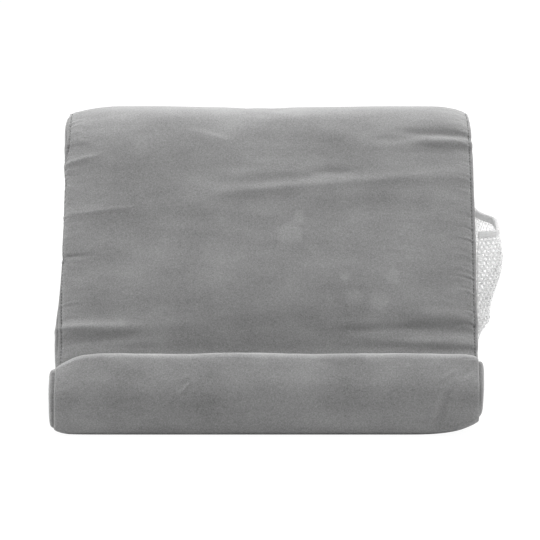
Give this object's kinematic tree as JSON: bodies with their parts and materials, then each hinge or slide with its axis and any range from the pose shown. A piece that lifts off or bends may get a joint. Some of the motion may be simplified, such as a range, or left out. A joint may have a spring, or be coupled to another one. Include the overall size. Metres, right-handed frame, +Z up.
{
  "type": "tablet pillow stand",
  "caption": "Soft wedge cushion with a leaning face, a padded roll along its front foot that a tablet stands on, and a net pocket on its right-hand side.",
  "frame": {"origin": "on the floor, on the wedge's flat underside, under the middle of the stand", "axes": "+X to the right along the width, -Y towards the person who uses it, +Z up"},
  "size_m": [0.321, 0.2381, 0.1937],
  "materials": {
    "cover": "short-napped brushed cloth, matt with a soft sheen",
    "net": "light knitted net, matt",
    "tape": "narrow folded tape, matt"
  },
  "bodies": {
    "root": {"wedge_cushion": "cover", "ledge_roll": "cover", "pocket_net": "net", "pocket_binding": "tape"}
  },
  "joints": []
}
